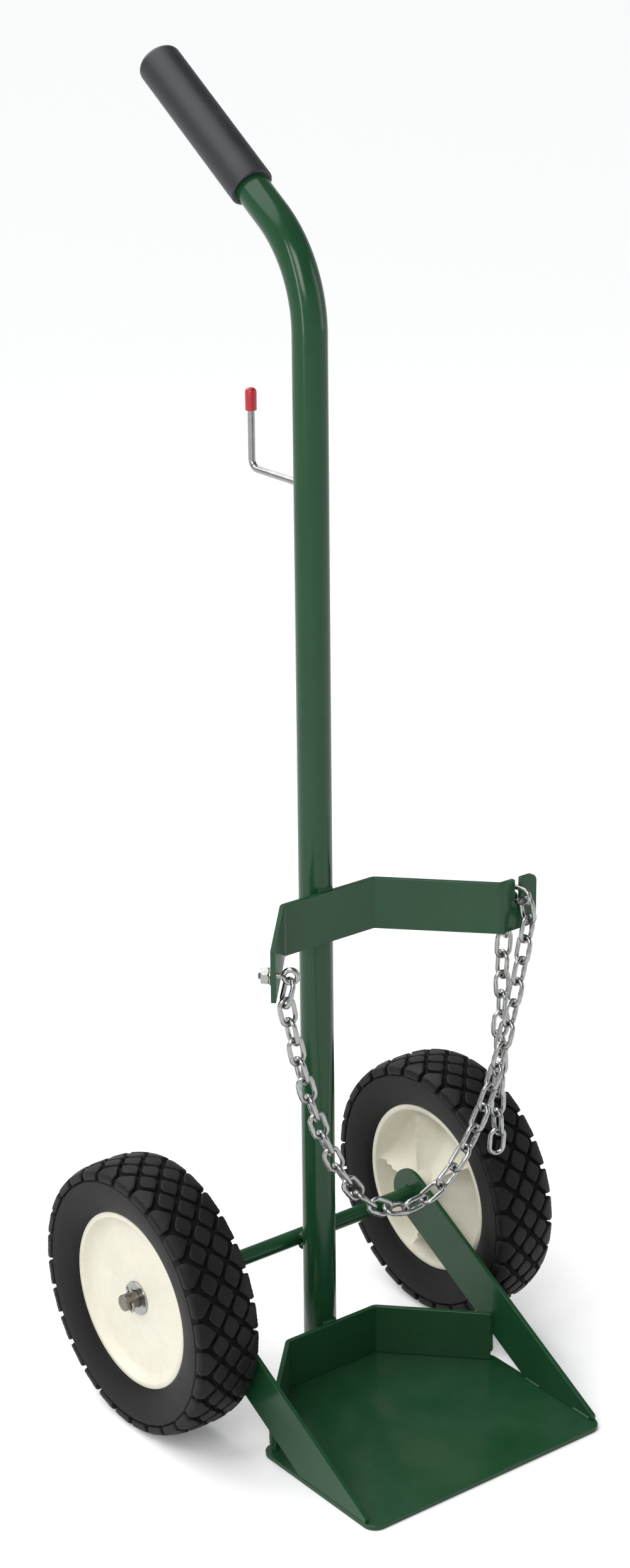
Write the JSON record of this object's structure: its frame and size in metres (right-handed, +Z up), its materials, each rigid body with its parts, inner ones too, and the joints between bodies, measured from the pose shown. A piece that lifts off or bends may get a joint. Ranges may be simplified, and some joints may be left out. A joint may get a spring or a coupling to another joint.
{
  "type": "gas cylinder hand truck",
  "caption": "Upright hand truck for one gas cylinder: bent mast tube with a raked grip, toe plate, cradle straps with a holding chain, hose hook and rubber-tyred wheels.",
  "frame": {"origin": "on the floor, at the middle of the truck's own box, 13.6 mm in front of the mast's axis", "axes": "+Z up along the mast, +X to the truck's right as seen by a person facing its load side from the front, -Y towards the toe plate and load, +Y towards the handle's user"},
  "size_m": [0.4306, 0.4868, 1.2518],
  "materials": {
    "green_enamel": "gloss enamel",
    "axle_steel": "gloss enamel, bare at the ends",
    "bare_steel": "turned",
    "zinc_plate": "bright zinc plate",
    "black_vinyl": "soft vinyl",
    "red_vinyl": "dipped vinyl",
    "black_rubber": "moulded rubber",
    "cream_plastic": "moulded, satin"
  },
  "bodies": {
    "frame": {"mast_tube": "green_enamel", "handle_grip": "black_vinyl", "hose_hook": "zinc_plate", "hook_cap": "red_vinyl", "upper_cradle_strap": "green_enamel", "lower_cradle_strap": "green_enamel", "toe_plate": "green_enamel", "left_strut": "green_enamel", "right_strut": "green_enamel", "axle": "axle_steel", "left_inner_washer": "zinc_plate", "left_outer_washer": "zinc_plate", "right_inner_washer": "zinc_plate", "right_outer_washer": "zinc_plate", "left_cotter_pin": "zinc_plate", "right_cotter_pin": "zinc_plate", "chain_eye_bolt": "zinc_plate", "eye_bolt_washer": "zinc_plate", "eye_bolt_nut": "zinc_plate"},
    "left_wheel": {"left_tire": "black_rubber", "left_hub": "cream_plastic", "left_hub_bushing": "bare_steel"},
    "right_wheel": {"right_tire": "black_rubber", "right_hub": "cream_plastic", "right_hub_bushing": "bare_steel"},
    "chain_loop": {"chain_span": "zinc_plate"},
    "chain_end": {"chain_tail": "zinc_plate"}
  },
  "joints": [
    {"name": "left_wheel_spin", "type": "hinge", "parent": "frame", "child": "left_wheel", "pos_m": [-0.1795, 0.04111, 0.1325], "axis": [1, 0, 0], "continuous": true},
    {"name": "right_wheel_spin", "type": "hinge", "parent": "frame", "child": "right_wheel", "pos_m": [0.1795, 0.04111, 0.1325], "axis": [1, 0, 0], "continuous": true},
    {"name": "chain_swing", "type": "hinge", "parent": "frame", "child": "chain_loop", "pos_m": [-0.10477, -0.08575, 0.4752], "axis": [-0.9963, 0.0638, -0.0581], "range_deg": [0, 60]},
    {"name": "chain_tail_swing", "type": "hinge", "parent": "frame", "child": "chain_end", "pos_m": [0.15016, -0.07166, 0.4804], "axis": [0, 1, 0], "range_deg": [-25, 25]}
  ]
}
